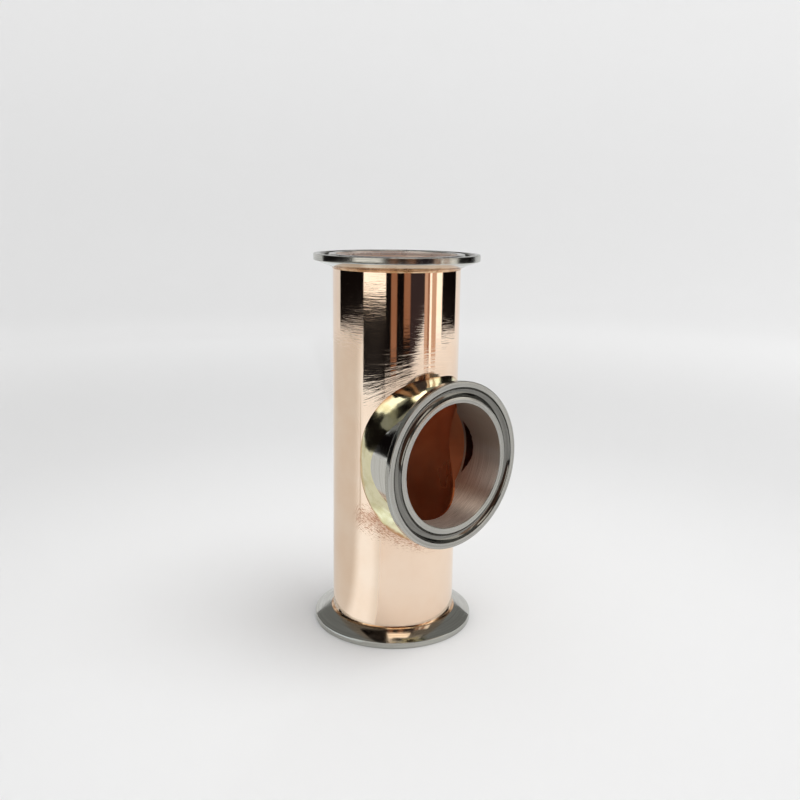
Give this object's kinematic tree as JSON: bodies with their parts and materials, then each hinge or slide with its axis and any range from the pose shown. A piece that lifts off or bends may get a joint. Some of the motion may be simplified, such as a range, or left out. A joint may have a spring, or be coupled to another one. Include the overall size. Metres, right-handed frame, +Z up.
{
  "type": "sanitary clamp tee",
  "caption": "Equal tee for sanitary pipework: a polished copper run tube with stainless clamp ferrules at its ends and on a short brazed side branch.",
  "frame": {"origin": "centre of the lower port, in the plane of its clamp face", "axes": "+Z up along the run, +X out of the side branch"},
  "size_m": [0.0676, 0.064, 0.1485],
  "materials": {
    "copper": "polished copper with fine turned lines",
    "stainless": "turned and brushed rim and bore, polished neck",
    "filler": "pale yellow filler, ground smooth and polished"
  },
  "bodies": {
    "root": {"run_tube": "copper", "bottom_ferrule": "stainless", "top_ferrule": "stainless", "branch_ferrule": "stainless", "branch_braze": "filler", "bottom_braze": "filler", "top_braze": "filler"}
  },
  "joints": []
}
